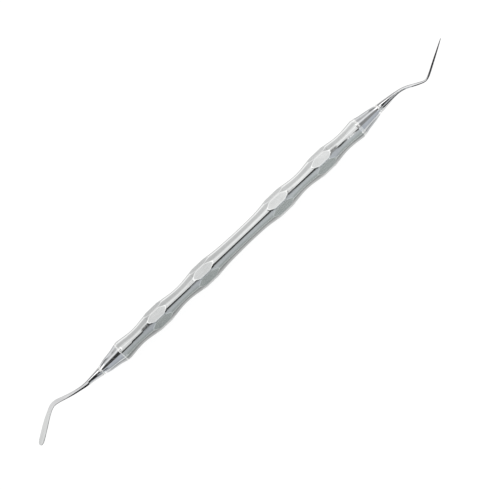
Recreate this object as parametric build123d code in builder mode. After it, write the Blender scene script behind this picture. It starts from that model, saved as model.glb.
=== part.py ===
from build123d import *
import os

# Double-ended dental hand instrument: a slim hollow steel handle with four
# faceted bulges, a tapered nose cone at each end, a fine tapered explorer
# point at the +X end and a narrow flat spatula blade at the -X end.
# Frame: the handle lies along X, +Z up, resting on the lowest flats of its
# bulges (Z = 0).  The origin is under the middle of the whole outline.
# Millimetres.

# ---------------------------------------------------------------- dimensions
FLAT_APOTHEM = 3.45        # handle axis to each flat of the eight-sided bulges
RIDGE_R = 3.70             # radius over the softened ridges between the flats
N_FLATS = 8                # flats round a bulge
NECK_FACET = 0.978         # neck facet apothem / neck radius over its ridges
BORE_R = 2.20              # bore of the hollow handle
SEAM_X = 50.76             # |x| of the joint between handle and nose cone
SEAM_W = 0.30              # thickness of the braze seam in that joint
NOSE_X = 58.75             # |x| where the nose cone ends
SPIGOT_L = 8.00            # length of the nose cone's spigot in the handle
SPIGOT_TIP = 0.40          # lead-in chamfer on the spigot
RING_L = 0.60              # length of the bright filler ring on the shank
RING_R = 1.60              # radius of the filler ring
TANG_R = 1.20              # shank tang inside the nose cone
TANG_L = 12.00             # its length behind the filler ring
AXIS_X = 0.28              # handle middle in the shared frame
AXIS_Y = 0.31              # handle axis in the shared frame

# Handle radius over the neck ridges: corner points (x, r) of the profile and
# the radius that rounds each inner corner.
BODY = [
    (-50.61, 3.34, None), (-49.76, 3.46, 1.0),
    (-43.56, 2.67, 18.6),
    (-36.46, RIDGE_R, 8.0), (-32.74, RIDGE_R, 8.0),
    (-24.77, 2.55, 28.0),
    (-17.11, RIDGE_R, 8.0), (-13.18, RIDGE_R, 8.0),
    (-7.60, 3.06, 55.0), (2.17, 2.79, 140.0), (9.30, 2.95, 40.0),
    (14.45, RIDGE_R, 8.0), (18.66, RIDGE_R, 8.0),
    (26.04, 2.69, 22.5),
    (33.30, RIDGE_R, 8.0), (37.20, RIDGE_R, 8.0),
    (43.74, 2.67, 26.0),
    (49.91, 3.37, 1.0), (50.61, 3.22, None),
]

# Apothem of the shallow facets that run along the necks, half a pitch away
# from the flats.  Past the bulges the line rises clear of the ridges.
CLEAR = 3.90
NECK_CUT = [
    (-50.61, CLEAR, None), (-47.60, CLEAR, 0.5),
    (-45.60, 2.82, 2.0), (-43.56, 2.61, 8.0), (-38.20, 3.37, 12.0),
    (-36.40, CLEAR, 0.5), (-32.80, CLEAR, 0.5),
    (-31.00, 3.37, 12.0), (-24.77, 2.49, 25.0), (-18.85, 3.37, 12.0),
    (-17.05, CLEAR, 0.5), (-12.90, CLEAR, 0.5),
    (-11.00, 3.36, 12.0), (-7.60, 2.99, 40.0), (2.17, 2.73, 120.0),
    (9.30, 2.88, 40.0), (12.75, 3.37, 12.0),
    (14.50, CLEAR, 0.5), (18.60, CLEAR, 0.5),
    (20.40, 3.37, 12.0), (26.04, 2.63, 20.0), (31.70, 3.37, 12.0),
    (33.35, CLEAR, 0.5), (37.10, CLEAR, 0.5),
    (38.90, 3.37, 12.0), (43.74, 2.61, 8.0), (45.80, 2.78, 2.0),
    (47.90, CLEAR, 0.5), (50.61, CLEAR, None),
]

# Nose cone outline, from the seam outward: (x, r) and corner radius.
NOSE_PLUS = [(50.91, 3.20, None), (52.75, 2.72, 6.0), (56.30, 2.14, 2.0), (58.75, 1.60, None)]
NOSE_MINUS = [(50.91, 3.28, None), (53.10, 2.70, 6.0), (56.70, 2.18, 1.5), (58.75, 1.62, None)]

# Working ends: centreline points (x, y) from the handle axis, both measured
# outward from the middle of the handle.  Each end is an S-bend in the plane
# parallel to the rest flats.
EXPLORER_LINE = [
    (59.35, 0.00), (61.38, -0.03), (63.24, -0.06), (65.10, -0.11), (66.34, -0.21),
    (67.58, -0.39), (68.82, -0.70), (70.06, -1.19), (71.30, -1.83), (72.54, -2.49),
    (73.78, -3.12), (74.71, -3.53), (75.49, -3.70), (76.20, -3.64), (76.88, -3.42),
    (78.12, -2.83), (80.60, -1.44), (83.08, -0.04), (85.56, 1.36), (88.13, 2.81),
]
SPATULA_LINE = [
    (59.35, 0.00), (60.76, 0.09), (62.00, 0.14), (64.48, 0.20), (65.72, 0.28),
    (66.96, 0.43), (68.20, 0.64), (69.44, 0.89), (70.68, 1.18), (71.92, 1.52),
    (73.16, 1.90), (74.40, 2.30), (75.33, 2.59), (76.26, 2.80), (77.04, 2.86),
    (77.66, 2.81), (78.28, 2.63), (79.36, 2.13), (80.60, 1.46), (82.46, 0.29),
    (84.32, -0.98), (86.18, -2.26), (88.60, -3.93),
]

# Sections along those lines: (x outward, half-size in the bend plane, half-size
# across it); both sizes are the same where the shank is round.
EXPLORER_SECT = [
    (59.35, 1.500, 1.500), (60.10, 1.440, 1.440), (61.40, 1.300, 1.300), (62.60, 1.130, 1.130),
    (63.90, 0.960, 0.960), (65.10, 0.820, 0.820), (66.30, 0.680, 0.680), (67.60, 0.595, 0.595),
    (68.80, 0.560, 0.560), (70.10, 0.530, 0.530), (71.30, 0.515, 0.515), (72.50, 0.500, 0.500),
    (73.80, 0.445, 0.445), (74.60, 0.390, 0.390), (75.30, 0.350, 0.350), (76.10, 0.335, 0.335),
    (77.00, 0.340, 0.340), (78.10, 0.345, 0.345), (79.40, 0.345, 0.345), (80.60, 0.335, 0.335),
    (81.80, 0.320, 0.320), (83.10, 0.295, 0.295), (84.30, 0.260, 0.260), (85.60, 0.220, 0.220),
    (86.80, 0.175, 0.175), (87.60, 0.130, 0.130), (88.13, 0.080, 0.080),
]
SPATULA_SECT = [
    (59.35, 1.500, 1.500), (60.10, 1.400, 1.400), (60.80, 1.320, 1.320), (62.00, 1.150, 1.150),
    (63.20, 0.990, 0.990), (64.50, 0.850, 0.850), (65.70, 0.730, 0.730), (67.00, 0.640, 0.635),
    (68.20, 0.605, 0.590), (69.40, 0.610, 0.560), (70.70, 0.622, 0.520), (71.90, 0.635, 0.475),
    (73.20, 0.650, 0.425), (74.40, 0.680, 0.380), (75.60, 0.735, 0.340), (76.80, 0.745, 0.310),
    (78.00, 0.725, 0.290), (79.40, 0.700, 0.275), (80.60, 0.740, 0.265), (82.20, 0.820, 0.250),
    (83.70, 0.880, 0.240), (85.00, 0.905, 0.230), (86.20, 0.915, 0.220), (87.10, 0.900, 0.210),
    (87.70, 0.840, 0.200), (88.15, 0.700, 0.190), (88.42, 0.500, 0.175), (88.60, 0.220, 0.150),
]

os.makedirs("parts", exist_ok=True)

AXIS = Vector(AXIS_X, AXIS_Y, FLAT_APOTHEM)
LONG = Plane(origin=AXIS, x_dir=(1, 0, 0), z_dir=(0, -1, 0))    # X-Z plane through the axis


def roll(angle):
    """X-Z plane through the handle axis, turned about the axis by angle."""
    return LONG.rotated((angle, 0, 0))


def corners(rows):
    return [(x, r) for x, r, _ in rows]


def radii(rows):
    return [c for _, _, c in rows[1:-1]]


# -------------------------------------------------------------- handle sleeve
HALF_L = SEAM_X - SEAM_W / 2

with BuildPart() as handle_sleeve:
    # turned body
    with BuildSketch(LONG):
        with BuildLine():
            FilletPolyline(*corners(BODY), radius=radii(BODY))
            Polyline((-HALF_L, BODY[0][1]), (-HALF_L, 0), (HALF_L, 0), (HALF_L, BODY[-1][1]))
        make_face()
    revolve(axis=Axis(AXIS, (1, 0, 0)))
    # shallow facets along the necks, half a pitch from the flats
    for k in range(N_FLATS // 2):
        with BuildSketch(roll(22.5 + 45 * k)):
            with BuildLine():
                FilletPolyline(*corners(NECK_CUT), radius=radii(NECK_CUT))
                Line((-HALF_L, CLEAR), (-HALF_L, -CLEAR))
                FilletPolyline(*[(x, -r) for x, r in corners(NECK_CUT)], radius=radii(NECK_CUT))
                Line((HALF_L, -CLEAR), (HALF_L, CLEAR))
            make_face()
        extrude(amount=8, both=True, mode=Mode.INTERSECT)
    # flats of the four bulges
    with BuildSketch(Plane(origin=AXIS - Vector(60, 0, 0), x_dir=(0, 1, 0), z_dir=(1, 0, 0))):
        RegularPolygon(FLAT_APOTHEM, N_FLATS, major_radius=False, rotation=22.5)
    extrude(amount=120, mode=Mode.INTERSECT)
    # through bore
    with BuildSketch(Plane(origin=AXIS - Vector(60, 0, 0), x_dir=(0, 1, 0), z_dir=(1, 0, 0))):
        Circle(BORE_R)
    extrude(amount=120, mode=Mode.SUBTRACT)
handle_sleeve.part.label = "handle_sleeve"
export_step(handle_sleeve.part, "parts/handle_sleeve.step")


# ----------------------------------------------------------------- nose cones
def side(sign):
    """X-Z plane through the axis with its first direction pointing outward."""
    return Plane(origin=AXIS, x_dir=(sign, 0, 0), z_dir=(0, -sign, 0))


def nose_profile(rows):
    x_in = SEAM_X - SEAM_W / 2 - SPIGOT_L
    x_face = rows[0][0]
    FilletPolyline(*corners(rows), radius=radii(rows))
    Polyline((NOSE_X, rows[-1][1]), (NOSE_X, TANG_R), (NOSE_X - TANG_L, TANG_R),
             (NOSE_X - TANG_L, 0), (x_in, 0), (x_in, BORE_R - SPIGOT_TIP),
             (x_in + SPIGOT_TIP, BORE_R), (x_face, BORE_R), (x_face, rows[0][1]))


with BuildPart() as explorer_nose_cone:
    with BuildSketch(side(1)):
        with BuildLine():
            nose_profile(NOSE_PLUS)
        make_face()
    revolve(axis=Axis(AXIS, (1, 0, 0)))
explorer_nose_cone.part.label = "explorer_nose_cone"
export_step(explorer_nose_cone.part, "parts/explorer_nose_cone.step")

with BuildPart() as spatula_nose_cone:
    with BuildSketch(side(-1)):
        with BuildLine():
            nose_profile(NOSE_MINUS)
        make_face()
    revolve(axis=Axis(AXIS, (1, 0, 0)))
spatula_nose_cone.part.label = "spatula_nose_cone"
export_step(spatula_nose_cone.part, "parts/spatula_nose_cone.step")


# ------------------------------------------------------ braze seams and rings
def seam_profile(r_sleeve, r_nose):
    x1, x2 = SEAM_X - SEAM_W / 2, SEAM_X + SEAM_W / 2
    Polyline((x1, BORE_R), (x2, BORE_R), (x2, r_nose), (x1, r_sleeve), close=True)


with BuildPart() as explorer_seam_ring:
    with BuildSketch(side(1)):
        with BuildLine():
            seam_profile(BODY[-1][1], NOSE_PLUS[0][1])
        make_face()
    revolve(axis=Axis(AXIS, (1, 0, 0)))
explorer_seam_ring.part.label = "explorer_seam_ring"
export_step(explorer_seam_ring.part, "parts/explorer_seam_ring.step")

with BuildPart() as spatula_seam_ring:
    with BuildSketch(side(-1)):
        with BuildLine():
            seam_profile(BODY[0][1], NOSE_MINUS[0][1])
        make_face()
    revolve(axis=Axis(AXIS, (1, 0, 0)))
spatula_seam_ring.part.label = "spatula_seam_ring"
export_step(spatula_seam_ring.part, "parts/spatula_seam_ring.step")


def ring_profile():
    x1, x2 = NOSE_X, NOSE_X + RING_L
    Polyline((x1, TANG_R), (x2, TANG_R), (x2, 1.50), (x2 - 0.12, RING_R),
             (x1 + 0.12, RING_R), (x1, 1.56), close=True)


with BuildPart() as explorer_filler_ring:
    with BuildSketch(side(1)):
        with BuildLine():
            ring_profile()
        make_face()
    revolve(axis=Axis(AXIS, (1, 0, 0)))
explorer_filler_ring.part.label = "explorer_filler_ring"
export_step(explorer_filler_ring.part, "parts/explorer_filler_ring.step")

with BuildPart() as spatula_filler_ring:
    with BuildSketch(side(-1)):
        with BuildLine():
            ring_profile()
        make_face()
    revolve(axis=Axis(AXIS, (1, 0, 0)))
spatula_filler_ring.part.label = "spatula_filler_ring"
export_step(spatula_filler_ring.part, "parts/spatula_filler_ring.step")


# --------------------------------------------------------------- working ends
def share_at(path, x_out):
    """Share of a centreline's length at which it is x_out from the handle's middle."""
    lo, hi = 0.0, 1.0
    for _ in range(40):
        mid = (lo + hi) / 2
        if abs((path @ mid).X - AXIS_X) < x_out:
            lo = mid
        else:
            hi = mid
    return (lo + hi) / 2


def tang_profile():
    """Straight tang that sits in the nose cone and the filler ring."""
    x2 = NOSE_X + RING_L
    Polyline((x2, 0), (x2, TANG_R), (NOSE_X - TANG_L, TANG_R), (NOSE_X - TANG_L, 0), close=True)


with BuildLine() as explorer_path:
    Spline(*[AXIS + Vector(x, y, 0) for x, y in EXPLORER_LINE], tangents=[(1, 0, 0), (0.873, 0.488, 0)])

with BuildPart() as explorer_point:
    for x, a, b in EXPLORER_SECT:
        s = share_at(explorer_path.line, x)
        with BuildSketch(Plane(origin=explorer_path.line @ s, x_dir=(0, 0, 1), z_dir=explorer_path.line % s)):
            Circle(a)
    loft()
    with BuildSketch(side(1)):
        with BuildLine():
            tang_profile()
        make_face()
    revolve(axis=Axis(AXIS, (1, 0, 0)))
explorer_point.part.label = "explorer_point"
export_step(explorer_point.part, "parts/explorer_point.step")

with BuildLine() as spatula_path:
    Spline(*[AXIS + Vector(-x, y, 0) for x, y in SPATULA_LINE], tangents=[(-1, 0, 0), (-0.824, -0.566, 0)])

with BuildPart() as spatula_blade:
    for x, a, b in SPATULA_SECT:
        s = share_at(spatula_path.line, x)
        with BuildSketch(Plane(origin=spatula_path.line @ s, x_dir=(0, 0, 1), z_dir=spatula_path.line % s)):
            Ellipse(b, a)
    loft()
    with BuildSketch(side(-1)):
        with BuildLine():
            tang_profile()
        make_face()
    revolve(axis=Axis(AXIS, (1, 0, 0)))
spatula_blade.part.label = "spatula_blade"
export_step(spatula_blade.part, "parts/spatula_blade.step")

boxes = [p.part.bounding_box() for p in (handle_sleeve, explorer_nose_cone, spatula_nose_cone,
                                         explorer_seam_ring, spatula_seam_ring, explorer_filler_ring,
                                         spatula_filler_ring, explorer_point, spatula_blade)]
lo = [min(getattr(b.min, c) for b in boxes) for c in "XYZ"]
hi = [max(getattr(b.max, c) for b in boxes) for c in "XYZ"]
print("box", [round(v, 3) for v in lo], [round(v, 3) for v in hi],
      "middle", [round((p + q) / 2, 3) for p, q in zip(lo, hi)])
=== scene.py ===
import bpy
import math
import numpy as np
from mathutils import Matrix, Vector


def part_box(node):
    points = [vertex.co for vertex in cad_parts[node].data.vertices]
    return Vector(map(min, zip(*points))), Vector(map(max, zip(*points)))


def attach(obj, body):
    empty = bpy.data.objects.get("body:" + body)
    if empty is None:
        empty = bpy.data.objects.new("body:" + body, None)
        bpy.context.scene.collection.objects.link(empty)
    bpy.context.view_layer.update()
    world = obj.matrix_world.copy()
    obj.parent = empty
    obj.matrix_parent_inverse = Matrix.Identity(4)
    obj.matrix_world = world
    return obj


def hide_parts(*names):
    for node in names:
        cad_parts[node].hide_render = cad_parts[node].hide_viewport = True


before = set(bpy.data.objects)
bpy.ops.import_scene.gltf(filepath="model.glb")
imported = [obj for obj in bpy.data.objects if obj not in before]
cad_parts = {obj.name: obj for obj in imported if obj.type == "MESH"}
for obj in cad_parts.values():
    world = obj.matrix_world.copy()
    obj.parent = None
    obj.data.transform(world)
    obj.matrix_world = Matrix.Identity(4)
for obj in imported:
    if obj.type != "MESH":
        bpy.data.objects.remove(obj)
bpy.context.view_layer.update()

# ---------------------------------------------------------------------------
# Frame: handle along X, +Z up, resting on the lowest flats.  The handle axis
# comes from the CAD sleeve's box.  Everything below is worked out in
# millimetres round that axis and written in metres.
# ---------------------------------------------------------------------------
s_lo, s_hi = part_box("handle_sleeve")
MM = 0.001
AX, AY, AZ = ((s_lo[i] + s_hi[i]) / 2 / MM for i in range(3))
APOTHEM = (s_hi[2] - s_lo[2]) / 2 / MM
RIDGE = 3.70
BORE = 2.20

BODY = [
    (-50.61, 3.38, 0), (-49.76, 3.46, 1.0), (-43.56, 2.67, 18.6),
    (-36.46, RIDGE, 6.0), (-32.74, RIDGE, 6.0), (-24.77, 2.55, 28.0),
    (-17.11, RIDGE, 6.0), (-13.18, RIDGE, 6.0),
    (-7.60, 3.06, 55.0), (2.17, 2.79, 140.0), (9.30, 2.95, 40.0),
    (14.45, RIDGE, 6.0), (18.66, RIDGE, 6.0), (26.04, 2.69, 22.5),
    (33.30, RIDGE, 6.0), (37.20, RIDGE, 6.0), (43.74, 2.67, 26.0),
    (49.91, 3.37, 1.0), (50.61, 3.22, 0),
]
CLEAR = 3.90
NECK_CUT = [
    (-50.61, CLEAR, 0), (-47.60, CLEAR, 0.5), (-45.60, 2.82, 2.0), (-43.56, 2.61, 8.0),
    (-38.20, 3.37, 12.0), (-36.40, CLEAR, 0.5), (-32.80, CLEAR, 0.5),
    (-31.00, 3.37, 12.0), (-24.77, 2.49, 25.0), (-18.85, 3.37, 12.0),
    (-17.05, CLEAR, 0.5), (-12.90, CLEAR, 0.5), (-11.00, 3.36, 12.0),
    (-7.60, 2.99, 40.0), (2.17, 2.73, 120.0), (9.30, 2.88, 40.0), (12.75, 3.37, 12.0),
    (14.50, CLEAR, 0.5), (18.60, CLEAR, 0.5), (20.40, 3.37, 12.0),
    (26.04, 2.63, 20.0), (31.70, 3.37, 12.0), (33.35, CLEAR, 0.5), (37.10, CLEAR, 0.5),
    (38.90, 3.37, 12.0), (43.74, 2.61, 8.0), (45.80, 2.78, 2.0),
    (47.90, CLEAR, 0.5), (50.61, CLEAR, 0),
]
NOSE_PLUS = [(50.91, 3.20, 0), (52.75, 2.72, 6.0), (56.30, 2.14, 2.0), (58.62, 1.615, 0)]
NOSE_MINUS = [(50.91, 3.28, 0), (53.10, 2.70, 6.0), (56.70, 2.18, 1.5), (58.62, 1.640, 0)]
EXPLORER_LINE = [
    (59.35, 0.00), (61.38, -0.03), (63.24, -0.06), (65.10, -0.11), (66.34, -0.21),
    (67.58, -0.39), (68.82, -0.70), (70.06, -1.19), (71.30, -1.83), (72.54, -2.49),
    (73.78, -3.12), (74.71, -3.53), (75.49, -3.70), (76.20, -3.64), (76.88, -3.42),
    (78.12, -2.83), (80.60, -1.44), (83.08, -0.04), (85.56, 1.36), (88.13, 2.81),
]
SPATULA_LINE = [
    (59.35, 0.00), (60.76, 0.09), (62.00, 0.14), (64.48, 0.20), (65.72, 0.28),
    (66.96, 0.43), (68.20, 0.64), (69.44, 0.89), (70.68, 1.18), (71.92, 1.52),
    (73.16, 1.90), (74.40, 2.30), (75.33, 2.59), (76.26, 2.80), (77.04, 2.86),
    (77.66, 2.81), (78.28, 2.63), (79.36, 2.13), (80.60, 1.46), (82.46, 0.29),
    (84.32, -0.98), (86.18, -2.26), (88.60, -3.93),
]
EXPLORER_SECT = [
    (59.35, 1.500), (60.10, 1.440), (61.40, 1.300), (62.60, 1.130), (63.90, 0.960),
    (65.10, 0.820), (66.30, 0.680), (67.60, 0.595), (68.80, 0.560), (70.10, 0.530),
    (71.30, 0.515), (72.50, 0.500), (73.80, 0.445), (74.60, 0.390), (75.30, 0.350),
    (76.10, 0.335), (77.00, 0.340), (78.10, 0.345), (79.40, 0.345), (80.60, 0.335),
    (81.80, 0.320), (83.10, 0.295), (84.30, 0.260), (85.60, 0.220), (86.80, 0.175),
    (87.60, 0.130), (88.13, 0.080),
]
SPATULA_SECT = [
    (59.35, 1.500, 1.500), (60.10, 1.400, 1.400), (60.80, 1.320, 1.320), (62.00, 1.150, 1.150),
    (63.20, 0.990, 0.990), (64.50, 0.850, 0.850), (65.70, 0.730, 0.730), (67.00, 0.640, 0.635),
    (68.20, 0.605, 0.590), (69.40, 0.610, 0.560), (70.70, 0.622, 0.520), (71.90, 0.635, 0.475),
    (73.20, 0.650, 0.425), (74.40, 0.680, 0.380), (75.60, 0.735, 0.340), (76.80, 0.745, 0.310),
    (78.00, 0.725, 0.290), (79.40, 0.700, 0.275), (80.60, 0.740, 0.265), (82.20, 0.820, 0.250),
    (83.70, 0.880, 0.240), (85.00, 0.905, 0.230), (86.20, 0.915, 0.220), (87.10, 0.900, 0.210),
    (87.70, 0.840, 0.200), (88.15, 0.700, 0.190), (88.42, 0.500, 0.175), (88.60, 0.220, 0.150),
]


# ------------------------------------------------------------------ helpers
def rounded(rows, step=0.02):
    """Dense (x, r) line through the corner points with each corner rounded by its radius."""
    pts = [(rows[0][0], rows[0][1])]
    for i in range(1, len(rows) - 1):
        p, q, n = (np.array(rows[k][:2], float) for k in (i - 1, i, i + 1))
        rad = rows[i][2]
        a, b = (p - q) / np.linalg.norm(p - q), (n - q) / np.linalg.norm(n - q)
        turn = math.pi - math.acos(max(-1, min(1, float(a @ b))))
        t = min(rad * math.tan(turn / 2), 0.48 * np.linalg.norm(p - q), 0.48 * np.linalg.norm(n - q))
        if t < 1e-4:
            pts.append(tuple(q))
            continue
        r = t / math.tan(turn / 2)
        mid = (a + b) / np.linalg.norm(a + b)
        c = q + mid * (r / math.cos(turn / 2))
        s, e = q + a * t - c, q + b * t - c
        for k in range(13):
            f = k / 12
            w = math.sin((1 - f) * turn) / math.sin(turn) * s + math.sin(f * turn) / math.sin(turn) * e
            pts.append(tuple(c + w))
    pts.append((rows[-1][0], rows[-1][1]))
    return np.array(pts)


def smin(a, b, k):
    h = np.clip(0.5 + 0.5 * (b - a) / k, 0, 1)
    return b * (1 - h) + a * h - k * h * (1 - h)


def spline(rows, x, col=1):
    """Natural cubic spline through the rows, at x."""
    xs = np.array([r[0] for r in rows], float)
    ys = np.array([r[col] for r in rows], float)
    n = len(xs)
    h = np.diff(xs)
    A = np.zeros((n, n))
    B = np.zeros(n)
    A[0, 0] = A[-1, -1] = 1
    for i in range(1, n - 1):
        A[i, i - 1], A[i, i], A[i, i + 1] = h[i - 1], 2 * (h[i - 1] + h[i]), h[i]
        B[i] = 6 * ((ys[i + 1] - ys[i]) / h[i] - (ys[i] - ys[i - 1]) / h[i - 1])
    m = np.linalg.solve(A, B)
    x = np.clip(np.asarray(x, float), xs[0], xs[-1])
    i = np.clip(np.searchsorted(xs, x, side="right") - 1, 0, n - 2)
    d, hh = x - xs[i], h[i]
    return (ys[i] + d * ((ys[i + 1] - ys[i]) / hh - hh * (2 * m[i] + m[i + 1]) / 6)
            + d * d * m[i] / 2 + d ** 3 * (m[i + 1] - m[i]) / (6 * hh))


def grid_mesh(name, rings, close_start=None, close_end=None, loop=False, attrs=None):
    """Closed mesh from rings of points, shape (rows, around, 3), in mm.
    close_start / close_end: a cap point for a fan; loop: the last row joins the first."""
    rows, around = rings.shape[:2]
    co = rings.reshape(-1, 3)
    extra = [p for p in (close_start, close_end) if p is not None]
    if extra:
        co = np.vstack([co, np.array(extra, float)])
    n_band = rows if loop else rows - 1
    i = np.arange(n_band)[:, None]
    j = np.arange(around)[None, :]
    i2, j2 = (i + 1) % rows, (j + 1) % around
    quads = np.stack([i * around + j, i * around + j2, i2 * around + j2, i2 * around + j], -1).reshape(-1, 4)
    loops = [quads.ravel()]
    starts = [np.arange(len(quads)) * 4]
    totals = [np.full(len(quads), 4)]
    base = len(quads) * 4
    idx = rows * around
    if close_start is not None:
        f = np.stack([np.full(around, idx), (np.arange(around) + 1) % around, np.arange(around)], -1)
        loops.append(f.ravel()); starts.append(base + np.arange(around) * 3); totals.append(np.full(around, 3))
        base += around * 3; idx += 1
    if close_end is not None:
        o = (rows - 1) * around
        f = np.stack([np.full(around, idx), o + np.arange(around), o + (np.arange(around) + 1) % around], -1)
        loops.append(f.ravel()); starts.append(base + np.arange(around) * 3); totals.append(np.full(around, 3))
    loops, starts, totals = (np.concatenate(v).astype(np.int32) for v in (loops, starts, totals))
    me = bpy.data.meshes.new(name)
    me.vertices.add(len(co)); me.loops.add(len(loops)); me.polygons.add(len(starts))
    me.vertices.foreach_set("co", (co * MM).astype(np.float32).ravel())
    me.loops.foreach_set("vertex_index", loops)
    me.polygons.foreach_set("loop_start", starts)
    me.polygons.foreach_set("loop_total", totals)
    me.polygons.foreach_set("use_smooth", np.ones(len(starts), bool))
    me.update(calc_edges=True)
    me.validate()
    for key, values in (attrs or {}).items():
        full = np.zeros(len(co), np.float32)
        full[: values.size] = values.ravel()
        at = me.attributes.new(key, "FLOAT", "POINT")
        at.data.foreach_set("value", full)
    ob = bpy.data.objects.new(name, me)
    bpy.context.scene.collection.objects.link(ob)
    # faces point outward
    import bmesh
    bm = bmesh.new(); bm.from_mesh(me)
    bmesh.ops.recalc_face_normals(bm, faces=bm.faces)
    bm.to_mesh(me); bm.free()
    return ob


def sharpen(ob, degrees):
    """Edges sharper than this angle are drawn sharp; the rest is shaded smooth."""
    me = ob.data
    import bmesh
    bm = bmesh.new(); bm.from_mesh(me)
    for e in bm.edges:
        if len(e.link_faces) == 2 and e.calc_face_angle(0) > math.radians(degrees):
            e.smooth = False
    bm.to_mesh(me); bm.free()


def lathe(name, rows, side, around=160, attrs=None):
    """Closed solid of revolution about the handle axis; rows are (x outward, r) all round the section."""
    th = np.linspace(0, 2 * math.pi, around, endpoint=False)
    rows = np.array(rows, float)
    rings = np.zeros((len(rows), around, 3))
    rings[..., 0] = AX + side * rows[:, 0][:, None]
    rings[..., 1] = AY + rows[:, 1][:, None] * np.sin(th)
    rings[..., 2] = AZ + rows[:, 1][:, None] * np.cos(th)
    return grid_mesh(name, rings, loop=True, attrs=attrs)


# ------------------------------------------------------- handle sleeve mesh
# Normals of the eight ground flats, degrees from +Z towards -Y.  The flats are
# finished by hand, so the upper ones are not quite an even 45 degrees apart.
FLATS = [-90.0, -47.5, -0.2, 49.6, 93.4, 136.0, 180.0, -135.0]
RIDGES = [-68.75, -23.85, 24.7, 71.5, 114.7, 158.0, -157.5, -112.5]
CROWN = 0.5                       # share of a neck facet's arc that stays curved
FACET = 13.5                      # half-width of a neck facet, degrees


def off(deg, centre):
    return (deg - centre + 180) % 360 - 180


def sleeve():
    body, cut = rounded(BODY), rounded(NECK_CUT)
    xs = np.concatenate([[-50.61, -50.60, -50.57, -50.52], np.arange(-50.45, 50.46, 0.13), [50.52, 50.57, 50.60, 50.61]])
    around = []
    rid = sorted(r % 360 for r in RIDGES)
    for k, r0 in enumerate(rid):
        r1 = rid[(k + 1) % 8] + (360 if k == 7 else 0)
        around += list(r0 + np.linspace(0, 6.0, 11)[:-1]) + list(np.linspace(r0 + 6.0, r1 - 6.0, 25)[:-1]) + list(r1 - np.linspace(6.0, 0, 11)[:-1])
    deg = np.array(around)
    th = np.radians(deg)
    R = np.interp(xs, body[:, 0], body[:, 1])[:, None]
    C = np.interp(xs, cut[:, 0], cut[:, 1])[:, None]
    planes = sorted(np.stack([APOTHEM / np.maximum(np.cos(np.radians(off(deg, f))), 0.2) for f in FLATS]), key=lambda p: p[0])
    planes = np.sort(np.stack(planes), axis=0)
    flat = smin(planes[0], planes[1], 0.11)[None, :]
    d_ridge = np.min(np.abs(np.stack([off(deg, r) for r in RIDGES])), axis=0)
    # neck facets: crowned, deepest in the middle, running out at FACET either side
    t = np.radians(np.clip(d_ridge, 0, FACET)) * (1 - CROWN)
    cut_to = np.cos(t) ** (-1 / (1 - CROWN)) * math.cos(math.radians(FACET) * (1 - CROWN)) ** (1 / (1 - CROWN))
    full = np.clip((R - C) / 0.03, 0, 1)
    neck = R * (1 - full * (1 - cut_to[None, :])) + 0.025 * full
    gap = flat - neck
    neck = neck - 0.03 * (1 - np.exp(-np.clip(gap, 0, None) / 0.02))
    r = smin(flat, neck, 0.012)
    edge_buff_and_highlight = np.exp(-((gap - 0.004) / 0.034) ** 2)                  # buffed line round each flat, also lightened as a painted highlight
    # painted highlight weakened near the 71.5 and 45 degree ridges
    edge_buff_and_highlight = edge_buff_and_highlight * (1 - 0.75 * np.exp(-(off(deg, 71.5) / 9.0) ** 2) - 0.45 * np.exp(-(off(deg, 45.0) / 13.0) ** 2)).clip(0, 1)[None, :]
    # ridges lightened as wear and as a painted highlight, except the ridge at 71.5 degrees
    soft = np.where(np.abs(off(deg, 71.5)) < 7, 0.0, 1.0)
    ridge_buff_and_highlight = (soft * np.exp(-(d_ridge / 3.0) ** 2)[None, :] * np.clip((0.05 - gap) / 0.05, 0, 1))
    # the line where neck facets meet: buffed by handling, and lightened in colour as a painted highlight
    crease_buff_and_highlight = np.zeros_like(deg)
    for f, w in zip(FLATS, (0.4, 1.05, 0.35, 0.15, 0.4, 0.5, 0.5, 0.5)):
        crease_buff_and_highlight = np.maximum(crease_buff_and_highlight, w * np.exp(-(off(deg, f) / (9.0 if f == -47.5 else 2.6)) ** 2))
    crease_buff_and_highlight = crease_buff_and_highlight[None, :] * np.clip(gap / 0.08, 0, 1)
    onflat = np.clip(-gap / 0.01, 0, 1)
    end = np.minimum(xs - xs[0], xs[-1] - xs)[:, None]
    r = r - 0.06 * (1 - np.clip(end / 0.09, 0, 1)) ** 2
    # bright lip at each end of the sleeve: buffed, and a painted highlight
    lip = np.where(xs > 0, np.clip((xs - 50.0) / 0.25, 0, 1), np.clip((-50.35 - xs) / 0.2, 0, 1))[:, None]
    # one mask of buffing and painted highlight: lighter colour and lower roughness in the material
    buff_and_highlight = np.maximum.reduce([edge_buff_and_highlight + 0 * r, ridge_buff_and_highlight + 0 * r, crease_buff_and_highlight + 0 * r, lip + 0 * r])
    rings = np.zeros((len(xs), len(th), 3))
    rings[..., 0] = AX + xs[:, None]
    rings[..., 1] = AY - r * np.sin(th)
    rings[..., 2] = AZ + r * np.cos(th)
    inner = np.zeros((2, len(th), 3))
    for k, x in enumerate((xs[-1], xs[0])):
        inner[k, :, 0] = AX + x
        inner[k, :, 1] = AY - BORE * np.sin(th)
        inner[k, :, 2] = AZ + BORE * np.cos(th)
    ob = grid_mesh("sleeve_skin", np.concatenate([rings, inner]), loop=True,
                   attrs={"buff_and_highlight": buff_and_highlight, "flat": onflat + 0 * r})
    sharpen(ob, 60)
    return ob


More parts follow.
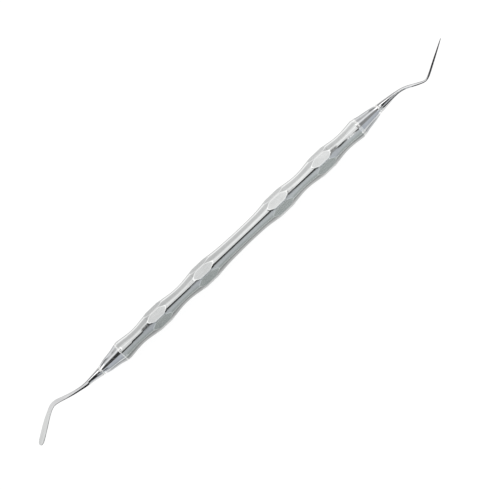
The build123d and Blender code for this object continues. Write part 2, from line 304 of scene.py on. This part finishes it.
# ----------------------------------------------------------------- the noses
def nose(name, rows, side):
    line = rounded(rows)
    x_end, r_end = line[-1]
    lip = [(58.62 + 0.13 * math.sin(a), r_end - 0.13 + 0.13 * math.cos(a)) for a in np.linspace(0.25, math.pi / 2, 7)]
    start = 51.30 if side > 0 else 51.00
    sect = [(50.91, 2.2), (50.91, rows[0][1] - 0.05), (50.93, rows[0][1] - 0.02)]
    sect += [(max(x, 50.96), r) for x, r in np.column_stack([np.linspace(50.96, x_end, 90), np.interp(np.linspace(50.96, x_end, 90), line[:, 0], line[:, 1])])]
    sect += lip
    sect += [(58.75, 1.2), (46.75, 1.2), (46.75, 0.02), (42.61, 0.02), (42.61, 1.8), (43.01, 2.2)]
    sect = np.array(sect)
    # rims at both ends of the cone: buffed, and lightened in the material as a painted highlight
    outer = np.maximum(np.clip((sect[:, 0] - 58.0) / 0.25, 0, 1), np.clip((start - sect[:, 0]) / 0.2, 0, 1))
    outer[sect[:, 1] < 1.3] = 0
    ob = lathe(name, sect, side, attrs={"buff_and_highlight": outer[:, None] + np.zeros((1, 160))})
    sharpen(ob, 35)
    return ob


def seam(name, r1, r2, side):
    """Filled seam: a faintly proud, rounded bead between sleeve and cone."""
    mid = (r1 + r2) / 2
    sect = [(50.61, 2.2), (50.61, r1 - 0.05)]
    for a in np.linspace(0, math.pi, 11):
        sect.append((50.76 - 0.15 * math.cos(a), mid - 0.045 + (r1 - r2) / 2 * math.cos(a) + 0.035 * math.sin(a)))
    sect += [(50.91, r2 - 0.05), (50.91, 2.2)]
    ob = lathe(name, sect, side)
    sharpen(ob, 50)
    return ob


def filler(name, side):
    """Brazing fillet where the shank leaves the cone: a rounded ring with a smooth run-out."""
    sect = [(58.75, 1.2), (58.75, 1.50)]
    for a in np.linspace(0, math.pi, 17):
        sect.append((59.03 - 0.28 * math.cos(a), 1.505 + 0.085 * math.sin(a)))
    sect += [(59.35, 1.49), (59.35, 1.2)]
    ob = lathe(name, sect, side)
    sharpen(ob, 60)
    return ob


# -------------------------------------------------------------- working ends
def working_end(name, line, sect, side, power, around=56, step=0.085):
    """Tang, shank and working end as one closed mesh swept along the centreline.
    power(x) is the exponent of the section's rounded-rectangle shape: 2 is an ellipse."""
    x_end = line[-1][0]
    xs = np.concatenate([np.arange(line[0][0], x_end - 1.2, step), x_end - 1.2 * (1 - np.linspace(0, 1, 34)) ** 1.8])
    ys = spline(line, xs)
    slope = np.gradient(ys, xs)
    nrm = np.sqrt(1 + slope ** 2)
    tx, ty = 1 / nrm, slope / nrm
    a = np.interp(xs, [s[0] for s in sect], [s[1] for s in sect])
    b = np.interp(xs, [s[0] for s in sect], [s[-1] for s in sect])
    # soften the linear steps between table rows
    ker = np.exp(-0.5 * (np.arange(-8, 9) / 3.2) ** 2); ker /= ker.sum()
    body = slice(0, len(xs) - 34)
    for v in (a, b):
        pad = np.concatenate([np.full(8, v[0]), v, np.full(8, v[-1])])
        sm = np.convolve(pad, ker, "valid")
        v[body] = sm[body]
    p = np.array([power(x) for x in xs])
    ph = np.linspace(0, 2 * math.pi, around, endpoint=False)
    c, s = np.cos(ph)[None, :], np.sin(ph)[None, :]
    e = (2 / p)[:, None]
    across = np.sign(c) * np.abs(c) ** e * a[:, None]
    up = np.sign(s) * np.abs(s) ** e * b[:, None]
    rings = np.zeros((len(xs), around, 3))
    rings[..., 0] = AX + side * (xs[:, None] - ty[:, None] * across)
    rings[..., 1] = AY + ys[:, None] + tx[:, None] * across
    rings[..., 2] = AZ + up
    # tang hidden in the cone
    tang = np.zeros((3, around, 3))
    for k, (x, r) in enumerate(((46.75, 1.2), (59.30, 1.2), (59.35, 1.2))):
        tang[k, :, 0] = AX + side * x
        tang[k, :, 1] = AY + r * np.cos(ph)
        tang[k, :, 2] = AZ + r * np.sin(ph)
    start = (AX + side * 46.75, AY, AZ)
    end = (AX + side * (x_end + 0.02 * tx[-1]), AY + ys[-1] + 0.02 * ty[-1], AZ)
    rel = np.concatenate([np.zeros(3), (xs - xs[0]) / (x_end - xs[0])])[:, None] + np.zeros((1, around))
    ob = grid_mesh(name, np.concatenate([tang, rings]), close_start=start, close_end=end, attrs={"along": rel})
    sharpen(ob, 50)
    return ob


def flatten(x):
    t = np.clip((x - 68.5) / 10.0, 0, 1)
    return 2 + 2.2 * t * t * (3 - 2 * t)


skin = sleeve()
nose_p = nose("explorer_nose_skin", NOSE_PLUS, 1)
nose_m = nose("spatula_nose_skin", NOSE_MINUS, -1)
seam_p = seam("explorer_seam_bead", 3.20, 3.20, 1)
seam_m = seam("spatula_seam_bead", 3.30, 3.28, -1)
fill_p = filler("explorer_fillet", 1)
fill_m = filler("spatula_fillet", -1)
point = working_end("explorer_tip", EXPLORER_LINE, EXPLORER_SECT, 1, lambda x: 2.0)
blade = working_end("spatula_tip", SPATULA_LINE, SPATULA_SECT, -1, flatten)


# ---------------------------------------------------------------- materials
def new_material(name):
    m = bpy.data.materials.new(name)
    m.use_nodes = True
    nt = m.node_tree
    nt.nodes.clear()
    out = nt.nodes.new("ShaderNodeOutputMaterial")
    bsdf = nt.nodes.new("ShaderNodeBsdfPrincipled")
    nt.links.new(bsdf.outputs[0], out.inputs[0])
    bsdf.inputs["Metallic"].default_value = 1.0
    return m, nt, bsdf


def noise(nt, coord, scale, detail=3.0, rough=0.55):
    """Noise on coordinates stretched by scale, one factor for each axis."""
    mp = nt.nodes.new("ShaderNodeMapping")
    mp.inputs["Scale"].default_value = scale
    nt.links.new(coord, mp.inputs["Vector"])
    n = nt.nodes.new("ShaderNodeTexNoise")
    n.inputs["Scale"].default_value = 1.0
    n.inputs["Detail"].default_value = detail
    n.inputs["Roughness"].default_value = rough
    nt.links.new(mp.outputs[0], n.inputs["Vector"])
    return n.outputs["Fac"]


def ramp(nt, fac, stops, mode="LINEAR"):
    r = nt.nodes.new("ShaderNodeValToRGB")
    r.color_ramp.interpolation = mode
    els = r.color_ramp.elements
    while len(els) > 1:
        els.remove(els[-1])
    for k, (pos, col) in enumerate(stops):
        e = els[0] if k == 0 else els.new(pos)
        e.position = pos
        e.color = (*col, 1) if len(col) == 3 else col
    nt.links.new(fac, r.inputs[0])
    return r.outputs[0]


def grey(v):
    return (v, v, v)


def math_node(nt, op, a, b=None, clamp=False):
    n = nt.nodes.new("ShaderNodeMath")
    n.operation = op
    n.use_clamp = clamp
    for i, v in enumerate((a, b)):
        if v is None:
            continue
        if isinstance(v, (int, float)):
            n.inputs[i].default_value = v
        else:
            nt.links.new(v, n.inputs[i])
    return n.outputs[0]


def mix_rgb(nt, fac, a, b):
    n = nt.nodes.new("ShaderNodeMix")
    n.data_type = "RGBA"
    for sock, v in ((n.inputs["Factor"], fac), (n.inputs[6], a), (n.inputs[7], b)):
        if isinstance(v, (int, float)):
            sock.default_value = v
        elif isinstance(v, tuple):
            sock.default_value = (*v, 1)
        else:
            nt.links.new(v, sock)
    return n.outputs[2]


def bump(nt, bsdf, height, strength, distance):
    b = nt.nodes.new("ShaderNodeBump")
    b.inputs["Strength"].default_value = strength
    b.inputs["Distance"].default_value = distance
    nt.links.new(height, b.inputs["Height"])
    nt.links.new(b.outputs[0], bsdf.inputs["Normal"])


def coords(nt):
    return nt.nodes.new("ShaderNodeTexCoord").outputs["Object"]


def attribute(nt, name):
    a = nt.nodes.new("ShaderNodeAttribute")
    a.attribute_name = name
    return a.outputs["Fac"]


# Handle: turned necks with fine rings, ground flats with lengthwise grain,
# polished ridges and bevels lightened as painted highlight, faint handling marks.
m_handle, nt, bs = new_material("handle_satin_steel")
co = coords(nt)
rings_n = noise(nt, co, (7000, 260, 260), 2.0)
grain_n = noise(nt, co, (420, 5200, 5200), 2.0)
cloud = noise(nt, co, (180, 420, 420), 3.0)
wear = noise(nt, co, (900, 1500, 1500), 4.0, 0.65)
on_flat, buff_and_highlight = attribute(nt, "flat"), attribute(nt, "buff_and_highlight")
base = ramp(nt, cloud, [(0.25, (0.595, 0.605, 0.604)), (0.75, (0.675, 0.683, 0.680))])
sp = nt.nodes.new("ShaderNodeSeparateXYZ")
nt.links.new(co, sp.inputs[0])
# painted shade: the handle's colour darkens towards the -X end
left_end_shade = ramp(nt, math_node(nt, "MULTIPLY", math_node(nt, "ADD", sp.outputs[0], 0.05), 10.0, True),
             [(0.0, grey(0.87)), (0.35, grey(0.90)), (0.65, grey(1.0)), (1.0, grey(1.0))])
mul = nt.nodes.new("ShaderNodeVectorMath")
mul.operation = "MULTIPLY"
nt.links.new(base, mul.inputs[0])
nt.links.new(left_end_shade, mul.inputs[1])
ring_tone = ramp(nt, rings_n, [(0.34, grey(0.965)), (0.66, grey(1.03))])
grind_tone = ramp(nt, grain_n, [(0.34, grey(0.90)), (0.66, grey(1.02))])
ground = mix_rgb(nt, on_flat, ring_tone, grind_tone)
mul_f = nt.nodes.new("ShaderNodeVectorMath")
mul_f.operation = "MULTIPLY"
nt.links.new(mul.outputs[0], mul_f.inputs[0])
nt.links.new(ground, mul_f.inputs[1])
base = mul_f.outputs[0]
# buffed wear and painted highlight: the colour goes light where the mask is set
worn_and_highlit = mix_rgb(nt, math_node(nt, "MULTIPLY", buff_and_highlight, 0.90, True), base, (0.97, 0.975, 0.97))
nt.links.new(worn_and_highlit, bs.inputs["Base Color"])
r_neck = ramp(nt, wear, [(0.30, grey(0.09)), (0.72, grey(0.15))])
r_flat = ramp(nt, wear, [(0.30, grey(0.20)), (0.72, grey(0.30))])
rough = mix_rgb(nt, on_flat, r_neck, r_flat)
rough = mix_rgb(nt, buff_and_highlight, rough, grey(0.10))
nt.links.new(rough, bs.inputs["Roughness"])
fine = mix_rgb(nt, on_flat, rings_n, grain_n)
bump(nt, bs, fine, 0.18, 0.00002)

# Nose cones: polished, with fine turning rings; the rims at both ends lightened as buffing and painted highlight.
m_nose, nt, bs = new_material("nose_polished_steel")
co = coords(nt)
rings_n = noise(nt, co, (5200, 120, 120), 2.0)
cloud = noise(nt, co, (300, 600, 600), 3.0)
tone = ramp(nt, cloud, [(0.3, (0.60, 0.61, 0.625)), (0.7, (0.67, 0.68, 0.69))])
# rim colour: buffing and painted highlight
nt.links.new(mix_rgb(nt, attribute(nt, "buff_and_highlight"), tone, (0.92, 0.92, 0.92)), bs.inputs["Base Color"])
nt.links.new(ramp(nt, rings_n, [(0.3, grey(0.07)), (0.7, grey(0.13))]), bs.inputs["Roughness"])
bump(nt, bs, rings_n, 0.12, 0.00002)

# Seams and fillets: bright silver brazing metal with a slightly flowed surface.
m_braze, nt, bs = new_material("braze_silver")
co = coords(nt)
flow = noise(nt, co, (1600, 1100, 1100), 3.0)
nt.links.new(ramp(nt, flow, [(0.3, (0.91, 0.91, 0.90)), (0.7, (0.97, 0.97, 0.96))]), bs.inputs["Base Color"])
nt.links.new(ramp(nt, flow, [(0.3, grey(0.34)), (0.7, grey(0.48))]), bs.inputs["Roughness"])
bump(nt, bs, flow, 0.25, 0.00003)

# Shank and point: mirror polish with faint drawn lines; the far part of the point darkened as a painted dark
# reflection.
m_mirror, nt, bs = new_material("shank_mirror_steel")
co = coords(nt)
lines = noise(nt, co, (500, 5200, 5200), 2.0)
cloud = noise(nt, co, (500, 900, 900), 3.0)
tone = ramp(nt, cloud, [(0.3, (0.60, 0.60, 0.605)), (0.7, (0.68, 0.68, 0.685))])
# painted dark reflection: colour goes dark over the far part of the point
dark_tip_reflection = ramp(nt, attribute(nt, "along"), [(0.565, grey(0.0)), (0.63, grey(0.85)), (0.80, grey(0.80)), (1.0, grey(0.70))])
nt.links.new(mix_rgb(nt, dark_tip_reflection, tone, (0.20, 0.20, 0.205)), bs.inputs["Base Color"])
nt.links.new(ramp(nt, cloud, [(0.3, grey(0.05)), (0.7, grey(0.10))]), bs.inputs["Roughness"])
bump(nt, bs, lines, 0.08, 0.00002)

# Blade end: mirror polished shank running into a fine satin blade.
m_blade, nt, bs = new_material("blade_satin_steel")
co = coords(nt)
along = attribute(nt, "along")
satin = ramp(nt, along, [(0.60, grey(0.0)), (0.76, grey(1.0))], "EASE")
turn = nt.nodes.new("ShaderNodeMapping")
turn.inputs["Rotation"].default_value = (0, 0, math.radians(-34.5))
nt.links.new(co, turn.inputs["Vector"])
grain_b = noise(nt, turn.outputs[0], (260, 3600, 3600), 4.0, 0.6)
streak = noise(nt, turn.outputs[0], (90, 1500, 900), 2.0)
cloud = noise(nt, co, (500, 900, 900), 3.0)
shiny = ramp(nt, cloud, [(0.3, (0.60, 0.60, 0.605)), (0.7, (0.68, 0.68, 0.685))])
matte = ramp(nt, grain_b, [(0.3, (0.66, 0.67, 0.665)), (0.7, (0.765, 0.77, 0.765))])
lined = mix_rgb(nt, ramp(nt, streak, [(0.35, grey(0.0)), (0.65, grey(1.0))]), matte, (0.625, 0.632, 0.628))
nt.links.new(mix_rgb(nt, satin, shiny, lined), bs.inputs["Base Color"])
r1 = ramp(nt, cloud, [(0.3, grey(0.05)), (0.7, grey(0.10))])
r2 = ramp(nt, grain_b, [(0.3, grey(0.26)), (0.7, grey(0.38))])
nt.links.new(mix_rgb(nt, satin, r1, r2), bs.inputs["Roughness"])
bump(nt, bs, grain_b, 0.20, 0.00002)

for ob, node, mat, slot in (
    (skin, "handle_sleeve", m_handle, "handle_steel"),
    (nose_p, "explorer_nose_cone", m_nose, "nose_steel"),
    (nose_m, "spatula_nose_cone", m_nose, "nose_steel"),
    (seam_p, "explorer_seam_ring", m_braze, "braze"),
    (seam_m, "spatula_seam_ring", m_braze, "braze"),
    (fill_p, "explorer_filler_ring", m_braze, "filler"),
    (fill_m, "spatula_filler_ring", m_braze, "filler"),
    (point, "explorer_point", m_mirror, "working_end_steel"),
    (blade, "spatula_blade", m_blade, "blade_steel"),
):
    ob.data.materials.append(mat)
    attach(ob, "root")
    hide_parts(node)

# ------------------------------------------------------------------- stage
floor_me = bpy.data.meshes.new("floor")
floor_me.from_pydata([(-4, -4, 0), (4, -4, 0), (4, 4, 0), (-4, 4, 0)], [], [(0, 1, 2, 3)])
floor = bpy.data.objects.new("floor", floor_me)
bpy.context.scene.collection.objects.link(floor)
floor.location.z = -0.00002
m_floor = bpy.data.materials.new("floor_pale")
m_floor.use_nodes = True
nt = m_floor.node_tree
nt.nodes.clear()
out = nt.nodes.new("ShaderNodeOutputMaterial")
add = nt.nodes.new("ShaderNodeAddShader")
dif = nt.nodes.new("ShaderNodeBsdfDiffuse")
dif.inputs["Color"].default_value = (0.25, 0.25, 0.25, 1)
emi = nt.nodes.new("ShaderNodeEmission")
emi.inputs["Color"].default_value = (1, 1, 1, 1)
emi.inputs["Strength"].default_value = 0.88
nt.links.new(dif.outputs[0], add.inputs[0])
nt.links.new(emi.outputs[0], add.inputs[1])
nt.links.new(add.outputs[0], out.inputs[0])
floor_me.materials.append(m_floor)


# Reflector and flag cards: out of the picture, they only shape what the
# polished steel mirrors, as cards on a studio table do.
def card(name, corners, stops=None, value=1.0):
    """Flat card (mm corners).  stops: (y in mm, tone) across it, else one value."""
    me = bpy.data.meshes.new(name)
    me.from_pydata([(x * MM, y * MM, z * MM) for x, y, z in corners], [], [(0, 1, 2, 3)])
    ob = bpy.data.objects.new(name, me)
    bpy.context.scene.collection.objects.link(ob)
    m = bpy.data.materials.new(name)
    m.use_nodes = True
    t = m.node_tree
    t.nodes.clear()
    o = t.nodes.new("ShaderNodeOutputMaterial")
    e = t.nodes.new("ShaderNodeEmission")
    if stops:
        c = t.nodes.new("ShaderNodeTexCoord")
        sp = t.nodes.new("ShaderNodeSeparateXYZ")
        t.links.new(c.outputs["Object"], sp.inputs[0])
        y0, y1 = stops[0][0], stops[-1][0]
        f = math_node(t, "MULTIPLY", math_node(t, "SUBTRACT", sp.outputs[1], y0 * MM), 1 / ((y1 - y0) * MM), True)
        t.links.new(ramp(t, f, [((y - y0) / (y1 - y0), v if isinstance(v, tuple) else grey(v)) for y, v in stops]), e.inputs["Color"])
    else:
        e.inputs["Color"].default_value = (value, value, value, 1)
    t.links.new(e.outputs[0], o.inputs[0])
    me.materials.append(m)
    ob.visible_camera = False
    ob.visible_diffuse = False
    ob.visible_shadow = False
    ob.visible_transmission = False
    ob.visible_volume_scatter = False
    return ob


def level(name, x0, x1, y0, y1, z, **kw):
    return card(name, [(x0, y0, z), (x1, y0, z), (x1, y1, z), (x0, y1, z)], **kw)


FL = 0.06
def upright(name, x0, x1, y, z0, z1, **kw):
    return card(name, [(x0, y, z0), (x1, y, z0), (x1, y, z1), (x0, y, z1)], **kw)


level("card_low_mid", -60.5, 60.5, -60, -3.55, FL, stops=[
    (-60, (0.40, 0.43, 0.425)), (-13.6, (0.39, 0.415, 0.41)), (-10.4, 0.48), (-8.3, 0.66),
    (-6.9, 0.74), (-5.9, 0.78), (-5.0, 0.78), (-3.55, 0.78)])
level("card_low_back", -60.5, 60.5, 3.55, 60.0, FL, stops=[(3.55, 0.55), (8.0, 0.62), (12.0, 0.84), (20.5, 0.90), (25.0, 1.12), (60.0, 1.18)])
TOP = 11.5
# explorer end
level("flag_plus_core", 62.4, 66.2, -2.6, 3.2, TOP, value=0.02)
level("card_plus_gleam", 62.0, 66.6, 3.3, 7.2, TOP, value=2.2)
upright("flag_plus_edge", 60.5, 80.0, 14.0, 3.6, 12.0, value=0.34)
card("flag_plus_line", [(61.9, -6.0, 4.4), (67.8, -6.0, 1.6), (67.8, -6.0, 6.6), (61.9, -6.0, 9.0)], value=0.02)
level("card_plus_top", 68.5, 77.5, -7.6, 5.5, TOP, value=1.35)
upright("card_plus_low", 60.5, 69.5, -31.0, 0.1, 9.5, value=0.95)
upright("flag_plus_low", 68.0, 82.0, -8.0, 0.1, 9.0, value=0.02)
level("flag_plus_point", 78.0, 104.0, -16.0, 11.0, TOP, value=0.03)
# spatula end
card("flag_minus_core", [(-64.2, 4.0, TOP), (-66.4, 4.0, TOP), (-67.8, -14.0, TOP), (-64.2, -14.0, TOP)], value=0.02)
level("card_minus_gleam", -66.6, -62.0, 4.1, 8.2, TOP, value=2.2)
upright("flag_minus_edge", -68.5, -58.5, 14.0, 3.6, 12.0, value=0.35)
level("card_minus_top", -100.0, -66.2, -4.4, 9.0, TOP + 1, value=1.02)
upright("flag_minus_low", -90.0, -66.2, -5.8, 0.1, 12.4, value=0.02)
level("flag_minus_floor", -82.0, -66.2, -7.2, -0.9, FL + 0.05, value=0.02)
HI = 28.5
level("card_dash_b", 42.6, 44.9, -15.4, -8.0, HI, value=1.5)
level("card_neck", -31.5, -25.0, -7.6, 6.7, HI, value=1.13)

# Studio: a light tent given as the world.  psi is the direction's angle about
# the handle, from straight up (0) towards -Y (90); x is its lengthwise part.
world = bpy.data.worlds.new("studio")
bpy.context.scene.world = world
world.use_nodes = True
nt = world.node_tree
nt.nodes.clear()
out = nt.nodes.new("ShaderNodeOutputWorld")
bg = nt.nodes.new("ShaderNodeBackground")
tc = nt.nodes.new("ShaderNodeTexCoord")
sep = nt.nodes.new("ShaderNodeSeparateXYZ")
nt.links.new(tc.outputs["Generated"], sep.inputs[0])
neg_y = math_node(nt, "MULTIPLY", sep.outputs[1], -1.0)
psi = math_node(nt, "ARCTAN2", neg_y, sep.outputs[2])
fac = math_node(nt, "ADD", math_node(nt, "MULTIPLY", psi, 1 / (2 * math.pi)), 0.5)


def band(stops):
    return [((a + 180) / 360, c if isinstance(c, tuple) else grey(c)) for a, c in stops]


near = ramp(nt, fac, band([
    (-180, 0.95), (-96, 1.12), (-86, 1.08), (-77, 0.88), (-46, 0.86), (-36, 1.18), (-22, 1.22),
    (0, 1.15), (14, 1.06), (17.4, 0.04), (28.8, 0.04), (32.5, (0.70, 0.735, 0.755)), (60, (0.635, 0.67, 0.69)),
    (76, (0.515, 0.56, 0.55)), (84, (0.49, 0.535, 0.525)), (90, (0.40, 0.43, 0.425)), (100, 0.6), (112, 0.9), (180, 0.95)]))


def far_band(dark):
    return ramp(nt, fac, band([
        (-180, 0.95), (-90, 0.85), (-70, 0.68), (-50, 0.66), (-42, 1.15), (-27, 1.2),
        (-13, dark), (22, dark), (28, (0.66, 0.69, 0.73)), (60, (0.62, 0.65, 0.70)), (90, (0.47, 0.50, 0.52)),
        (100, 0.6), (112, 0.9), (180, 0.95)]))


far_p, far_m = far_band(0.36), far_band(0.05)
sx = sep.outputs[0]
far = mix_rgb(nt, math_node(nt, "GREATER_THAN", sx, 0.0), far_m, far_p)
ax_abs = math_node(nt, "ABSOLUTE", sx)
side_f = math_node(nt, "MULTIPLY", math_node(nt, "SUBTRACT", ax_abs, 0.305), 50.0, True)
env = mix_rgb(nt, side_f, near, far)
outer = math_node(nt, "MULTIPLY", math_node(nt, "SUBTRACT", ax_abs, 0.62), 6.0, True)
ends = ramp(nt, fac, band([
    (-180, 0.95), (-90, 0.85), (-40, 0.95), (-10, 0.75), (20, 0.55), (40, 0.70), (90, 0.55), (112, 0.9), (180, 0.95)]))
env = mix_rgb(nt, outer, env, ends)
lp = nt.nodes.new("ShaderNodeLightPath")
env = mix_rgb(nt, lp.outputs["Is Camera Ray"], env, (1.0, 1.0, 1.0))
nt.links.new(env, bg.inputs["Color"])
bg.inputs["Strength"].default_value = 1.0
nt.links.new(bg.outputs[0], out.inputs[0])

# ------------------------------------------------------------------ camera
TILT = math.radians(15.5)          # camera leans from straight above towards -Y
ROLL = math.radians(43.398)        # handle's slope in the picture
PX = 0.31                          # millimetres to a picture element
e_u = Vector((1, 0, 0))
e_v = Vector((0, -math.cos(TILT), -math.sin(TILT)))
back = Vector((0, -math.sin(TILT), math.cos(TILT)))
right = e_u * math.cos(ROLL) + e_v * math.sin(ROLL)
down = -e_u * math.sin(ROLL) + e_v * math.cos(ROLL)
target = Vector((AX, AY, AZ)) + (right * 4.735 + down * 5.277) * PX
cam_data = bpy.data.cameras.new("camera")
cam_data.lens = 150
cam_data.sensor_width = 36
cam_data.clip_start, cam_data.clip_end = 0.01, 50
dist = 490 * PX * MM * cam_data.lens / cam_data.sensor_width
cam = bpy.data.objects.new("camera", cam_data)
bpy.context.scene.collection.objects.link(cam)
from mathutils import Matrix
rot = Matrix((right, -down, back)).transposed()
cam.matrix_world = Matrix.Translation(target * MM + back * dist) @ rot.to_4x4()
bpy.context.scene.camera = cam
bpy.context.scene.view_settings.view_transform = "Standard"
bpy.context.scene.view_settings.look = "None"
